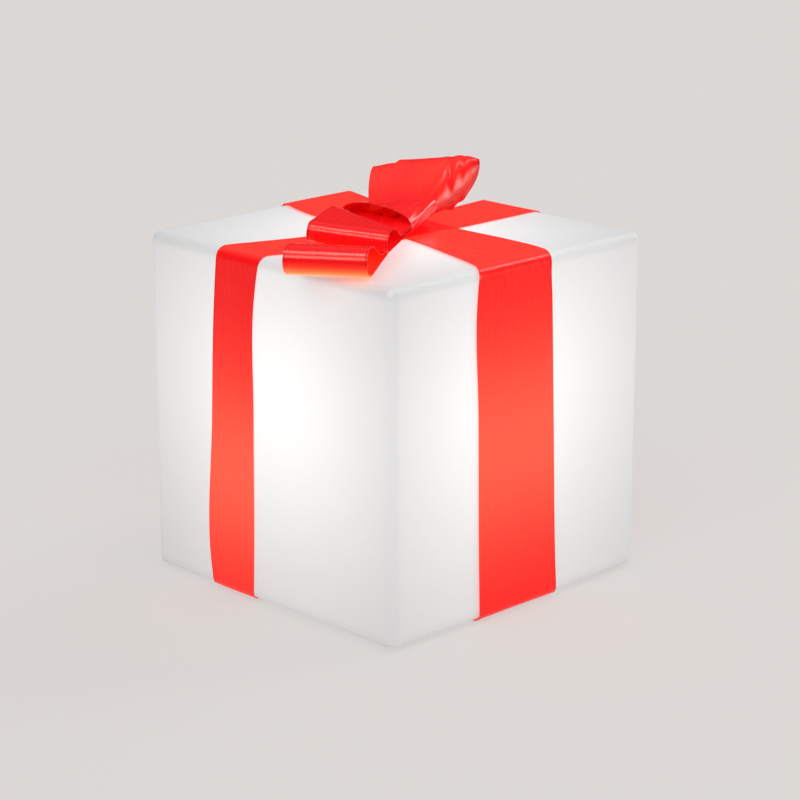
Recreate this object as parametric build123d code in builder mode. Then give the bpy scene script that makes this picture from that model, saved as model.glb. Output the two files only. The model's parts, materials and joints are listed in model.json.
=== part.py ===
# Cordless LED cube light dressed as a gift box: a hollow glowing cube with a ribbon cross and a bow,
# lit by a battery module that twists into the middle of its base.
# Millimetres, +Z up, origin on the floor under the middle of the cube, front faces -Y and +X.
import os
from math import cos, hypot, pi, radians, sin

from build123d import *

os.makedirs("parts", exist_ok=True)

# Cube shell
side = 330.0
cube_top = 336.0
edge_radius = 9.0
base_radius = 5.0
wall = 4.0
pocket_depth = 12.0
pocket_gap = 6.0

# Feet and their screws
foot_height = 4.0
foot_radius = 11.0
foot_inset = 35.0
foot_screw_head_radius = 3.5
foot_screw_head_height = 1.5
foot_screw_recess = 1.0
foot_screw_radius = 1.75
foot_screw_end = 2.0
screw_clearance = 0.05

# Ribbons: each station is (middle line, width), at a rim of the top, beside the knot or at the floor
ribbon_thickness = 0.8
ribbon_layer_gap = 0.1
ribbon_tail = 45.0
ribbon_knot_x = 45.0
ribbon_knot_y = 78.0
right_rim, right_knot, right_floor = (-11.0, 97.0), (9.5, 67.0), (-3.0, 105.0)
left_rim, left_floor = (39.0, 86.0), (43.0, 92.0)
front_rim, front_knot, front_floor = (-37.0, 58.0), (-1.0, 70.0), (-51.0, 61.0)
back_rim, back_floor = (13.0, 68.0), (18.0, 70.0)
stud_inset = 30.0
stud_radius = 1.8
stud_clearance = 0.2
stud_head_radius = 5.0
stud_head_height = 1.0
stud_barb_radius = 2.7
stud_barb_height = 3.5

# Bow: a loose knot, the gathered waist inside it, two loops towards the front and one to the back
bow_lift = 2.0
knot_front = (8.8, -33.5)
knot_rise = 15.5
knot_heading, knot_tilt, knot_roll = 110.6, -1.7, 7.7
knot_length = 72.0
knot_half_width, knot_half_height = 35.0, 14.0
knot_end_half_width, knot_end_half_height = 31.0, 12.5
waist_half_width, waist_half_height, waist_length = 18.0, 8.0, 32.0
loop_root_gap = 3.0
loop_point_count = 17
loop_root_angle = 12.0
lower_root, lower_heading, lower_tilt, lower_roll = (-4.0, -5.7, 7.6), -59.5, -0.9, 1.2
lower_reach, lower_height, lower_share, lower_curl = 208.0, 24.6, 0.93, 12
lower_root_width, lower_end_width, lower_flare = 44.0, 77.0, 0.0
upper_root, upper_heading, upper_tilt, upper_roll = (-2.0, -5.7, 13.2), -58.5, 2.4, -3.8
upper_reach, upper_height, upper_share, upper_curl = 149.0, 20.0, 0.8, 2.5
upper_root_width, upper_end_width, upper_flare = 40.0, 82.0, 0.1
back_root, back_heading, back_tilt, back_roll = (-5.8, 4.2, 11.0), 115.6, 14.5, -8.3
back_reach, back_height, back_share, back_curl = 109.5, 33.8, 0.5, 1.0
back_root_width, back_end_width, back_flare = 46.0, 104.0, 0.0

# Twist-in light module
twist_angle = 40.0
seat_gap = 0.3
cup_radius = 70.0
cup_clearance = 2.0
cup_wall = 3.0
cup_height = 90.0
flange_rim = 24.0
flange_thickness = 3.0
gasket_thickness = 2.0
gasket_inner_rim = 14.0
gasket_outer_rim = 22.0
lug_reach = 10.0
lug_width = 34.0
lug_thickness = 4.0
lug_clearance = 1.0

# Base cover, its screws and the pad under it
cover_rim = 10.0
cover_thickness = 4.5
cover_recess = 1.7
cover_screw_inset = 5.0
cover_screw_radius = 1.4
cover_screw_head_radius = 3.0
cover_screw_head_height = 2.0
cover_screw_recess = 0.3
head_clearance = 0.3
pad_radius = 28.0

# Control board, its posts and what it carries
board_gap = 7.0
board_thickness = 1.6
board_height = 13.0
post_radius = 4.0
post_circle = 50.0
board_screw_radius = 1.25
board_screw_head_radius = 2.75
board_screw_head_height = 1.8
board_screw_depth = 8.0
component_inset = 21.0
component_spread = 28.0
inductor_size, inductor_height = 10.0, 5.0
driver_length, driver_width, driver_height = 7.0, 6.0, 1.6
capacitor_radius, capacitor_height = 4.0, 10.0

# Power button and its switch
button_circle = 50.0
button_radius = 9.0
button_clearance = 0.3
button_recess = 0.4
button_flange = 2.0
button_flange_thickness = 1.0
button_stem_radius = 2.5
button_travel = 0.8
switch_size = 6.0
switch_body = 4.0
switch_plunger_radius = 1.7
switch_plunger = 2.6

# Charging socket, its flap and the flap's pin
jack_circle = 50.0
jack_bore_radius = 2.85
jack_bore_depth = 12.0
jack_barrel_radius = 4.6
jack_width, jack_depth = 14.0, 10.0
jack_clearance = 0.2
flap_width, flap_length, flap_thickness = 22.0, 24.0, 2.0
flap_gap = 0.4
flap_recess = 3.2
flap_hinge_offset = 14.0
flap_nail_room = 3.0
hinge_radius = 1.4
pin_radius = 0.7
pin_bite = 3.0
pin_clearance = 0.03
hinge_clearance = 0.06

# Batteries and their holder
cell_radius = 9.2
cell_length = 65.0
cell_pitch = 22.0
holder_plate = 4.0
holder_margin = 2.0
holder_post_radius = 5.0
holder_screw_reach = 3.8
holder_screw_radius = 1.25
holder_screw_head_radius = 2.4
holder_screw_head_height = 1.6
holder_screw_depth = 3.0
holder_ear_radius = 4.0

# Light column
core_radius = 15.0
core_height = 132.0
core_flange_radius = 21.0
core_flange_thickness = 3.0
core_screw_circle = 18.0
core_screw_radius = 1.0
core_screw_head_radius = 1.8
core_screw_head_height = 1.4
strip_width = 11.0
strip_thickness = 1.0
strip_foot = 6.0
chip_row_count = 7
chip_pitch = 15.0
chip_size, chip_height = 3.5, 0.8
first_chip = 22.0
diffuser_radius = 33.0
diffuser_wall = 2.5
diffuser_straight = 121.0
diffuser_flange_radius = 42.0
diffuser_flange_thickness = 3.0
diffuser_screw_circle = 37.5
diffuser_screw_radius = 1.25
diffuser_screw_head_radius = 2.4
diffuser_screw_head_height = 1.6

# Leads
lead_radius = 0.8
lead_spread = 1.3
lead_clearance = 0.8
lead_bend = 4.0
lead_hole_radius = 3.0
lead_rise = 10.0

# Heights and places that follow from the sizes above
half = side / 2
flange_radius = cup_radius + flange_rim
gasket_inner_radius = cup_radius + gasket_inner_rim
gasket_outer_radius = cup_radius + gasket_outer_rim
cover_radius = cup_radius + cover_rim
shell_height = cube_top - foot_height
pocket_radius = flange_radius + pocket_gap
seat_bottom = foot_height + pocket_depth
seat_top = seat_bottom + wall
flange_top = seat_bottom - seat_gap - gasket_thickness
flange_bottom = flange_top - flange_thickness
cup_top = flange_bottom + cup_height + cup_wall
cup_ceiling = cup_top - cup_wall
opening_radius = cup_radius + cup_clearance
lug_bottom = seat_top + seat_gap
cover_floor = flange_bottom - cover_recess
cover_bottom = cover_floor - cover_thickness
board_bottom = cover_floor + board_height
board_top = board_bottom + board_thickness
foot_place = half - foot_inset
inner_radius = cup_radius - cup_wall
board_radius = inner_radius - board_gap
holder_half = cell_pitch / 2 + cell_radius + holder_margin
holder_screw_circle = holder_half + holder_screw_reach
lead_circle = holder_half + lead_bend + lead_clearance
bow_base = cube_top + bow_lift
top_bend = cube_top - edge_radius
margin = 5.0


def cube_block(grow):
    """The cube's outer form, grown by an amount on every side."""
    with BuildPart() as block:
        with Locations((0, 0, (cube_top + foot_height) / 2)):
            Box(side + 2 * grow, side + 2 * grow, shell_height + 2 * grow)
        fillet(block.edges() - block.faces().sort_by(Axis.Z)[0].edges(), edge_radius + grow)
        fillet(block.faces().sort_by(Axis.Z)[0].edges(), base_radius + grow)
    return block.part


def disc(radius, bottom, top, mode=Mode.ADD):
    """A cylinder between two heights, on each active location."""
    Cylinder(radius, top - bottom, align=(Align.CENTER, Align.CENTER, Align.MIN), mode=mode)


def ribbon_edges(stations):
    """Outline of a strip through stations of (distance along, middle line, width)."""
    one = [(along, middle - width / 2) for along, middle, width in stations]
    other = [(along, middle + width / 2) for along, middle, width in stations]
    return one + other[::-1]


def ribbon(layer, outline, faces, across_x, studs):
    """A ribbon laid over the top and down two faces, tucked under the cube and pierced by its studs."""
    with BuildPart() as strip:
        with BuildSketch(Plane.XY.offset(top_bend)):
            Polygon(*outline, align=None)
        extrude(amount=edge_radius + margin)
        for sign, rim, floor in faces:
            if across_x:
                face = Plane((sign * (half + margin), 0, 0), x_dir=(0, 1, 0), z_dir=(1, 0, 0))
                inward = -sign
            else:
                face = Plane((0, sign * (half + margin), 0), x_dir=(1, 0, 0), z_dir=(0, -1, 0))
                inward = sign
            with BuildSketch(face):
                rows = [(0, *floor), (top_bend, *rim)]
                Polygon(*[(place, z) for z, place in ribbon_edges(rows)], align=None)
            extrude(amount=inward * (margin + ribbon_tail))
        add(cube_block(layer + ribbon_thickness), mode=Mode.INTERSECT)
        add(cube_block(layer), mode=Mode.SUBTRACT)
        with Locations(*[(x, y, foot_height) for x, y in studs]):
            Cylinder(stud_radius + stud_clearance, 2 * margin, mode=Mode.SUBTRACT)
    return strip


def bow_axes(heading, tilt, roll):
    """Directions along, across and out of a loop, from its heading, tilt and roll in degrees."""
    turn = Rotation(0, 0, heading) * Rotation(0, -tilt, 0) * Rotation(roll, 0, 0)
    frame = Plane(turn)
    return frame.x_dir, frame.y_dir, frame.z_dir


def loop_side(reach, height, share, curl):
    """Outer and inner points of one selvage: flat layers from the root that roll over at the far end."""
    def raw(angle):
        return sin(angle) * sin(angle / 2) ** curl

    peak = max(raw(pi * step / 200) for step in range(200))

    def point(angle):
        swell = height * raw(angle) / peak
        swell *= share if angle < pi else 1 - share
        return reach * (1 - cos(angle)) / 2, swell + loop_root_gap / 2 * cos(angle / 2)

    start = radians(loop_root_angle)
    angles = [start + (2 * pi - 2 * start) * step / (loop_point_count - 1) for step in range(loop_point_count)]
    outer, inner = [], []
    for angle in angles:
        u, v = point(angle)
        before, after = point(angle - 0.001), point(angle + 0.001)
        du, dv = after[0] - before[0], after[1] - before[1]
        outer.append((u, v))
        inner.append((u + ribbon_thickness * dv / hypot(du, dv), v - ribbon_thickness * du / hypot(du, dv)))
    return outer, inner


def bow_loop(root, heading, tilt, roll, reach, height, share, curl, root_width, end_width, flare):
    """A ribbon loop between its two selvages, wider at the far end than at its gathered root."""
    along, across, out = bow_axes(heading, tilt, roll)
    start = Vector(root[0], root[1], bow_base + root[2])
    with BuildPart() as loop:
        for hand in (-1, 1):
            selvage = along * reach + across * (hand * (end_width - root_width) / 2)
            outer, inner = loop_side(selvage.length, height * (1 - hand * flare), share, curl)
            place = Plane(start + across * (hand * root_width / 2), x_dir=selvage, z_dir=selvage.cross(out))
            with BuildSketch(place):
                with BuildLine():
                    Spline(*outer)
                    Spline(*inner)
                    Line(outer[0], inner[0])
                    Line(outer[-1], inner[-1])
                make_face()
        loft(ruled=True)
    return loop


def screw(head_radius, head_height, radius, length):
    """A pan-head screw that hangs below its seat, standing on its head's underside at the active place."""
    disc(radius, 0, length)
    Cylinder(head_radius, head_height, align=(Align.CENTER, Align.CENTER, Align.MAX))


# Ribbon outlines and stud places
left_right_outline = ribbon_edges(
    [(-half - margin, *left_rim), (-half, *left_rim), (ribbon_knot_x, *right_knot), (half, *right_rim),
     (half + margin, *right_rim)])
front_back_outline = [
    (place, along) for along, place in ribbon_edges(
        [(-half - margin, *front_rim), (-half, *front_rim), (-ribbon_knot_y, *front_knot), (half, *back_rim),
         (half + margin, *back_rim)])]
stud_line = half - stud_inset
left_right_studs = [(-stud_line, left_floor[0]), (stud_line, right_floor[0])]
front_back_studs = [(front_floor[0], -stud_line), (back_floor[0], stud_line)]
front_back_layer = ribbon_layer_gap
left_right_layer = front_back_layer + ribbon_thickness + ribbon_layer_gap

# Hollow moulded cube with a pocket under it for the module
with BuildPart() as cube_shell:
    add(cube_block(0))
    add(cube_block(-wall), mode=Mode.SUBTRACT)
    with Locations((0, 0, foot_height)):
        disc(pocket_radius + wall, foot_height, seat_top)
        disc(pocket_radius, foot_height, seat_bottom, mode=Mode.SUBTRACT)
    with BuildSketch(Plane.XY.offset(seat_bottom)):
        Circle(opening_radius)
        notch = opening_radius + lug_reach
        with PolarLocations(notch / 2, 3, start_angle=twist_angle):
            Rectangle(notch, lug_width + 2 * lug_clearance)
    extrude(amount=wall, mode=Mode.SUBTRACT)
    with Locations(*[(x, y, foot_height) for x, y in left_right_studs + front_back_studs]):
        disc(stud_radius + stud_clearance, 0, wall, mode=Mode.SUBTRACT)
    with Locations((0, 0, foot_height)):
        with GridLocations(2 * foot_place, 2 * foot_place, 2, 2):
            disc(foot_screw_radius + screw_clearance, 0, wall, mode=Mode.SUBTRACT)
cube_shell.part.label = "cube_shell"
export_step(cube_shell.part, "parts/cube_shell.step")

# Four rubber feet with sunk screw heads
with BuildPart() as rubber_feet:
    with GridLocations(2 * foot_place, 2 * foot_place, 2, 2):
        disc(foot_radius, 0, foot_height)
    fillet(rubber_feet.faces().sort_by(Axis.Z)[:4].edges(), foot_height / 4)
    with GridLocations(2 * foot_place, 2 * foot_place, 2, 2):
        disc(foot_screw_radius + screw_clearance, 0, foot_height, mode=Mode.SUBTRACT)
        disc(foot_screw_head_radius + head_clearance, 0, foot_screw_recess + foot_screw_head_height,
             mode=Mode.SUBTRACT)
rubber_feet.part.label = "rubber_feet"
export_step(rubber_feet.part, "parts/rubber_feet.step")

with BuildPart() as foot_screws:
    with Locations((0, 0, foot_screw_recess + foot_screw_head_height)):
        with GridLocations(2 * foot_place, 2 * foot_place, 2, 2):
            screw(foot_screw_head_radius, foot_screw_head_height, foot_screw_radius,
                  foot_height - foot_screw_recess - foot_screw_head_height + wall + foot_screw_end)
foot_screws.part.label = "foot_screws"
export_step(foot_screws.part, "parts/foot_screws.step")

# Ribbon cross: the front-to-back ribbon lies under the left-to-right one
ribbon_front_back = ribbon(front_back_layer, front_back_outline,
                           [(-1, front_rim, front_floor), (1, back_rim, back_floor)], False, front_back_studs)
ribbon_front_back.part.label = "ribbon_front_back"
export_step(ribbon_front_back.part, "parts/ribbon_front_back.step")

ribbon_left_right = ribbon(left_right_layer, left_right_outline,
                           [(-1, left_rim, left_floor), (1, right_rim, right_floor)], True, left_right_studs)
ribbon_left_right.part.label = "ribbon_left_right"
export_step(ribbon_left_right.part, "parts/ribbon_left_right.step")

# Barbed studs that pin the ribbons' tails under the cube
with BuildPart() as ribbon_studs:
    for studs, layer in ((front_back_studs, front_back_layer), (left_right_studs, left_right_layer)):
        under = layer + ribbon_thickness
        barb = under + wall + stud_clearance
        with Locations(*[(x, y, foot_height - under) for x, y in studs]):
            screw(stud_head_radius, stud_head_height, stud_radius, barb)
        with Locations(*[(x, y, foot_height - under + barb) for x, y in studs]):
            Cone(stud_barb_radius, stud_radius / 2, stud_barb_height,
                 align=(Align.CENTER, Align.CENTER, Align.MIN))
ribbon_studs.part.label = "ribbon_studs"
export_step(ribbon_studs.part, "parts/ribbon_studs.step")

# Knot: a loose band of ribbon, with the gathered waist of the bow inside
knot_along, knot_across, knot_out = bow_axes(knot_heading, knot_tilt, knot_roll)
knot_start = Vector(*knot_front, bow_base + knot_rise)
knot_end = knot_start + knot_along * knot_length
with BuildPart() as bow_knot:
    for inset, mode in ((0, Mode.ADD), (ribbon_thickness, Mode.SUBTRACT)):
        with BuildSketch(Plane(knot_start, x_dir=knot_across, z_dir=knot_along)) as opening:
            Ellipse(knot_half_width - inset, knot_half_height - inset)
        with BuildSketch(Plane(knot_end, x_dir=knot_across, z_dir=knot_along)) as far_opening:
            Ellipse(knot_end_half_width - inset, knot_end_half_height - inset)
        loft(sections=[opening.sketch, far_opening.sketch], mode=mode)
bow_knot.part.label = "bow_knot"
export_step(bow_knot.part, "parts/bow_knot.step")

waist_middle = (knot_start + knot_end) / 2
waist_drop = (knot_half_height + knot_end_half_height) / 2 - ribbon_thickness / 2 - waist_half_height
with BuildPart() as bow_waist:
    with BuildSketch(Plane(waist_middle - knot_out * waist_drop, x_dir=knot_across, z_dir=knot_along)):
        Ellipse(waist_half_width, waist_half_height)
    extrude(amount=waist_length / 2, both=True)
bow_waist.part.label = "bow_waist"
export_step(bow_waist.part, "parts/bow_waist.step")

# Bow loops
bow_loop_lower = bow_loop(lower_root, lower_heading, lower_tilt, lower_roll, lower_reach, lower_height,
                          lower_share, lower_curl, lower_root_width, lower_end_width, lower_flare)
bow_loop_lower.part.label = "bow_loop_lower"
export_step(bow_loop_lower.part, "parts/bow_loop_lower.step")

bow_loop_upper = bow_loop(upper_root, upper_heading, upper_tilt, upper_roll, upper_reach, upper_height,
                          upper_share, upper_curl, upper_root_width, upper_end_width, upper_flare)
bow_loop_upper.part.label = "bow_loop_upper"
export_step(bow_loop_upper.part, "parts/bow_loop_upper.step")

bow_loop_back = bow_loop(back_root, back_heading, back_tilt, back_roll, back_reach, back_height,
                         back_share, back_curl, back_root_width, back_end_width, back_flare)
bow_loop_back.part.label = "bow_loop_back"
export_step(bow_loop_back.part, "parts/bow_loop_back.step")

# Module cup with its flange under the seat and three lugs above it
column_holes = [(core_screw_circle, 3, 30, core_screw_radius), (diffuser_screw_circle, 3, 30, diffuser_screw_radius),
                (holder_screw_circle, 2, 90, holder_screw_radius), (lead_circle, 1, 0, lead_hole_radius)]
cover_screw_circle = cover_radius - cover_screw_inset
with BuildPart() as module_cup:
    with Locations((0, 0, flange_bottom)):
        disc(flange_radius, flange_bottom, flange_top)
        disc(cup_radius, flange_bottom, cup_top)
    fillet(module_cup.faces().sort_by(Axis.Z)[-1].edges(), cup_wall)
    with BuildSketch(Plane.XY.offset(lug_bottom)):
        with PolarLocations((cup_radius + lug_reach) / 2, 3):
            Rectangle(cup_radius + lug_reach, lug_width)
    extrude(amount=lug_thickness)
    with Locations((0, 0, flange_bottom)):
        disc(inner_radius, flange_bottom, cup_ceiling, mode=Mode.SUBTRACT)
        with PolarLocations(cover_screw_circle, 4, start_angle=45):
            disc(cover_screw_radius + screw_clearance, flange_bottom, flange_top, mode=Mode.SUBTRACT)
    with Locations((0, 0, cup_ceiling)):
        for circle, count, first, radius in column_holes:
            with PolarLocations(circle, count, start_angle=first):
                disc(radius + screw_clearance, cup_ceiling, cup_top, mode=Mode.SUBTRACT)
module_cup.part.label = "module_cup"
export_step(module_cup.part, "parts/module_cup.step")

with BuildPart() as module_gasket:
    with BuildSketch(Plane.XY.offset(flange_top)):
        Circle(gasket_outer_radius)
        Circle(gasket_inner_radius, mode=Mode.SUBTRACT)
    extrude(amount=gasket_thickness)
module_gasket.part.label = "module_gasket"
export_step(module_gasket.part, "parts/module_gasket.step")

# Base cover with board posts, a button hole and a hinged socket recess
jack_y = -jack_circle
hinge_y = jack_y - flap_hinge_offset
hinge_z = cover_bottom + flap_gap / 2 + hinge_radius
recess_back = hinge_y - hinge_radius - flap_gap
recess_front = hinge_y + flap_length + flap_nail_room
with BuildPart() as module_cover:
    with Locations((0, 0, cover_bottom)):
        disc(cover_radius, cover_bottom, flange_bottom)
    fillet(module_cover.faces().sort_by(Axis.Z)[0].edges(), cover_thickness / 4)
    with Locations((0, 0, cover_floor)):
        disc(inner_radius, cover_floor, flange_bottom, mode=Mode.SUBTRACT)
        with PolarLocations(post_circle, 4, start_angle=45):
            disc(post_radius, cover_floor, board_bottom)
    with Locations((0, 0, board_bottom)):
        with PolarLocations(post_circle, 4, start_angle=45):
            Cylinder(board_screw_radius + screw_clearance, board_screw_depth + screw_clearance,
                     align=(Align.CENTER, Align.CENTER, Align.MAX), mode=Mode.SUBTRACT)
    with Locations((0, 0, cover_bottom)):
        with PolarLocations(cover_screw_circle, 4, start_angle=45):
            disc(cover_screw_radius + screw_clearance, cover_bottom, flange_bottom, mode=Mode.SUBTRACT)
            disc(cover_screw_head_radius + head_clearance, 0, cover_screw_recess + cover_screw_head_height,
                 mode=Mode.SUBTRACT)
        with Locations((0, button_circle, 0)):
            disc(button_radius + button_clearance, 0, cover_thickness, mode=Mode.SUBTRACT)
        with Locations((0, jack_y, 0)):
            disc(jack_barrel_radius + jack_clearance, 0, cover_thickness, mode=Mode.SUBTRACT)
        with Locations((0, (recess_back + recess_front) / 2, 0)):
            Box(flap_width + 2 * flap_gap, recess_front - recess_back, flap_recess,
                align=(Align.CENTER, Align.CENTER, Align.MIN), mode=Mode.SUBTRACT)
    with Locations(Location((0, hinge_y, hinge_z), (0, 90, 0))):
        Cylinder(pin_radius + pin_clearance, flap_width + 2 * flap_gap + 2 * pin_bite, mode=Mode.SUBTRACT)
module_cover.part.label = "module_cover"
export_step(module_cover.part, "parts/module_cover.step")

with BuildPart() as cover_screws:
    with Locations((0, 0, cover_bottom + cover_screw_recess + cover_screw_head_height)):
        with PolarLocations(cover_screw_circle, 4, start_angle=45):
            screw(cover_screw_head_radius, cover_screw_head_height, cover_screw_radius,
                  flange_top - cover_bottom - cover_screw_recess - cover_screw_head_height)
cover_screws.part.label = "cover_screws"
export_step(cover_screws.part, "parts/cover_screws.step")

with BuildPart() as base_pad:
    disc(pad_radius, 0, cover_bottom)
    fillet(base_pad.faces().sort_by(Axis.Z)[0].edges(), cover_bottom / 4)
base_pad.part.label = "base_pad"
export_step(base_pad.part, "parts/base_pad.step")

# Control board on the cover's posts
with BuildPart() as control_board:
    with BuildSketch(Plane.XY.offset(board_bottom)):
        Circle(board_radius)
        with PolarLocations(post_circle, 4, start_angle=45):
            Circle(board_screw_radius + screw_clearance, mode=Mode.SUBTRACT)
    extrude(amount=board_thickness)
control_board.part.label = "control_board"
export_step(control_board.part, "parts/control_board.step")

with BuildPart() as board_screws:
    with Locations((0, 0, board_top)):
        with PolarLocations(post_circle, 4, start_angle=45):
            disc(board_screw_head_radius, 0, board_screw_head_height)
            Cylinder(board_screw_radius, board_thickness + board_screw_depth,
                     align=(Align.CENTER, Align.CENTER, Align.MAX))
board_screws.part.label = "board_screws"
export_step(board_screws.part, "parts/board_screws.step")

# Inductor, driver chip, capacitors and battery connector on the board
component_x = board_radius - component_inset
component_y = component_spread / 2
with BuildPart() as board_components:
    with Locations((component_x, component_y, board_top)):
        Box(inductor_size, inductor_size, inductor_height, align=(Align.CENTER, Align.CENTER, Align.MIN))
    with Locations((component_x, -component_y, board_top)):
        Box(driver_length, driver_width, driver_height, align=(Align.CENTER, Align.CENTER, Align.MIN))
    with Locations((-component_x, component_y, board_top), (-component_x, -component_y, board_top)):
        disc(capacitor_radius, 0, capacitor_height)
board_components.part.label = "board_components"
export_step(board_components.part, "parts/board_components.step")

with BuildPart() as tact_switch:
    with Locations((0, button_circle, board_bottom)):
        Box(switch_size, switch_size, switch_body, align=(Align.CENTER, Align.CENTER, Align.MAX))
        Cylinder(switch_plunger_radius, switch_body + switch_plunger, align=(Align.CENTER, Align.CENTER, Align.MAX))
tact_switch.part.label = "tact_switch"
export_step(tact_switch.part, "parts/tact_switch.step")

# Power button: it hangs by its flange inside the cover and presses up on the switch
button_bottom = cover_bottom + button_recess
button_seat = cover_floor + button_clearance
button_stem_top = board_bottom - switch_body - switch_plunger - button_travel - button_clearance
with BuildPart() as power_button:
    with Locations((0, button_circle, button_bottom)):
        disc(button_radius, button_bottom, button_seat)
    fillet(power_button.faces().sort_by(Axis.Z)[0].edges(), button_recess)
    with Locations((0, button_circle, button_seat)):
        disc(button_radius + button_flange, 0, button_flange_thickness)
        disc(button_stem_radius, button_seat, button_stem_top)
power_button.part.label = "power_button"
export_step(power_button.part, "parts/power_button.step")

# Charging socket that looks down through the cover
jack_mouth = cover_bottom + flap_recess + jack_clearance
with BuildPart() as dc_jack:
    with Locations((0, jack_y, board_bottom)):
        Box(jack_width, jack_depth, board_bottom - cover_floor - jack_clearance,
            align=(Align.CENTER, Align.CENTER, Align.MAX))
    with Locations((0, jack_y, jack_mouth)):
        disc(jack_barrel_radius, jack_mouth, board_bottom)
        disc(jack_bore_radius, 0, jack_bore_depth, mode=Mode.SUBTRACT)
dc_jack.part.label = "dc_jack"
export_step(dc_jack.part, "parts/dc_jack.step")

# Flap over the socket and the pin it turns on
flap_bottom = cover_bottom + flap_gap / 2
with BuildPart() as charge_flap:
    with Locations((0, hinge_y + flap_length / 2, flap_bottom)):
        Box(flap_width, flap_length, flap_thickness, align=(Align.CENTER, Align.CENTER, Align.MIN))
    with Locations(Location((0, hinge_y, hinge_z), (0, 90, 0))):
        Cylinder(hinge_radius, flap_width)
        Cylinder(pin_radius + hinge_clearance, flap_width, mode=Mode.SUBTRACT)
charge_flap.part.label = "charge_flap"
export_step(charge_flap.part, "parts/charge_flap.step")

with BuildPart() as flap_pin:
    with Locations(Location((0, hinge_y, hinge_z), (0, 90, 0))):
        Cylinder(pin_radius, flap_width + 2 * flap_gap + 2 * pin_bite)
flap_pin.part.label = "flap_pin"
export_step(flap_pin.part, "parts/flap_pin.step")

# Battery holder hung from the cup's ceiling, with four standing cells
cell_top = cup_ceiling - holder_plate
cell_bottom = cell_top - cell_length
with BuildPart() as battery_holder:
    with BuildSketch(Plane.XY.offset(cell_top)):
        Rectangle(2 * holder_half, 2 * holder_half)
        with PolarLocations(holder_screw_circle, 2, start_angle=90):
            Circle(holder_ear_radius)
        with PolarLocations(holder_screw_circle, 2, start_angle=90):
            Circle(holder_screw_radius + screw_clearance, mode=Mode.SUBTRACT)
    extrude(amount=holder_plate)
    with BuildSketch(Plane.XY.offset(cell_bottom - holder_plate)):
        Rectangle(2 * holder_half, 2 * holder_half)
    extrude(amount=holder_plate)
    with Locations((0, 0, cell_bottom)):
        disc(holder_post_radius, cell_bottom, cell_top)
battery_holder.part.label = "battery_holder"
export_step(battery_holder.part, "parts/battery_holder.step")

with BuildPart() as holder_screws:
    with Locations((0, 0, cup_top)):
        with PolarLocations(holder_screw_circle, 2, start_angle=90):
            disc(holder_screw_head_radius, 0, holder_screw_head_height)
            Cylinder(holder_screw_radius, cup_wall + holder_screw_depth,
                     align=(Align.CENTER, Align.CENTER, Align.MAX))
holder_screws.part.label = "holder_screws"
export_step(holder_screws.part, "parts/holder_screws.step")

with BuildPart() as battery_cells:
    with Locations((0, 0, cell_bottom)):
        with GridLocations(cell_pitch, cell_pitch, 2, 2):
            disc(cell_radius, 0, cell_length)
battery_cells.part.label = "battery_cells"
export_step(battery_cells.part, "parts/battery_cells.step")

# Light column: a six-sided core with a board and a row of chips on each flat
flat_distance = core_radius * cos(pi / 6)
core_top = cup_top + core_height
with BuildPart() as led_core:
    with BuildSketch(Plane.XY.offset(cup_top)):
        RegularPolygon(core_radius, 6, rotation=30)
    extrude(amount=core_height)
    with BuildSketch(Plane.XY.offset(cup_top)):
        Circle(core_flange_radius)
    extrude(amount=core_flange_thickness)
    with Locations((0, 0, cup_top)):
        with PolarLocations(core_screw_circle, 3, start_angle=30):
            disc(core_screw_radius + screw_clearance, 0, core_flange_thickness, mode=Mode.SUBTRACT)
led_core.part.label = "led_core"
export_step(led_core.part, "parts/led_core.step")

with BuildPart() as core_screws:
    with Locations((0, 0, cup_top + core_flange_thickness)):
        with PolarLocations(core_screw_circle, 3, start_angle=30):
            disc(core_screw_head_radius, 0, core_screw_head_height)
            Cylinder(core_screw_radius, core_flange_thickness + cup_wall,
                     align=(Align.CENTER, Align.CENTER, Align.MAX))
core_screws.part.label = "core_screws"
export_step(core_screws.part, "parts/core_screws.step")

with BuildPart() as led_strips:
    with Locations((0, 0, cup_top + strip_foot)):
        with PolarLocations(flat_distance + strip_thickness / 2, 6):
            Box(strip_thickness, strip_width, core_height - strip_foot,
                align=(Align.CENTER, Align.CENTER, Align.MIN))
led_strips.part.label = "led_strips"
export_step(led_strips.part, "parts/led_strips.step")

with BuildPart() as led_chips:
    for row in range(chip_row_count):
        with Locations((0, 0, cup_top + first_chip + row * chip_pitch)):
            with PolarLocations(flat_distance + strip_thickness + chip_height / 2, 6):
                Box(chip_height, chip_size, chip_size)
led_chips.part.label = "led_chips"
export_step(led_chips.part, "parts/led_chips.step")

# Opal tube with a domed end over the light column
with BuildPart() as diffuser:
    with BuildSketch(Plane.XZ):
        with BuildLine():
            bore = diffuser_radius - diffuser_wall
            shoulder = cup_top + diffuser_straight
            foot_top = cup_top + diffuser_flange_thickness
            Polyline((bore, shoulder), (bore, cup_top), (diffuser_flange_radius, cup_top),
                     (diffuser_flange_radius, foot_top), (diffuser_radius, foot_top), (diffuser_radius, shoulder))
            CenterArc((0, shoulder), diffuser_radius, 0, 90)
            CenterArc((0, shoulder), bore, 0, 90)
            Line((0, shoulder + bore), (0, shoulder + diffuser_radius))
        make_face()
    revolve(axis=Axis.Z)
    with Locations((0, 0, cup_top)):
        with PolarLocations(diffuser_screw_circle, 3, start_angle=30):
            disc(diffuser_screw_radius + screw_clearance, 0, diffuser_flange_thickness, mode=Mode.SUBTRACT)
diffuser.part.label = "diffuser"
export_step(diffuser.part, "parts/diffuser.step")

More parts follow.
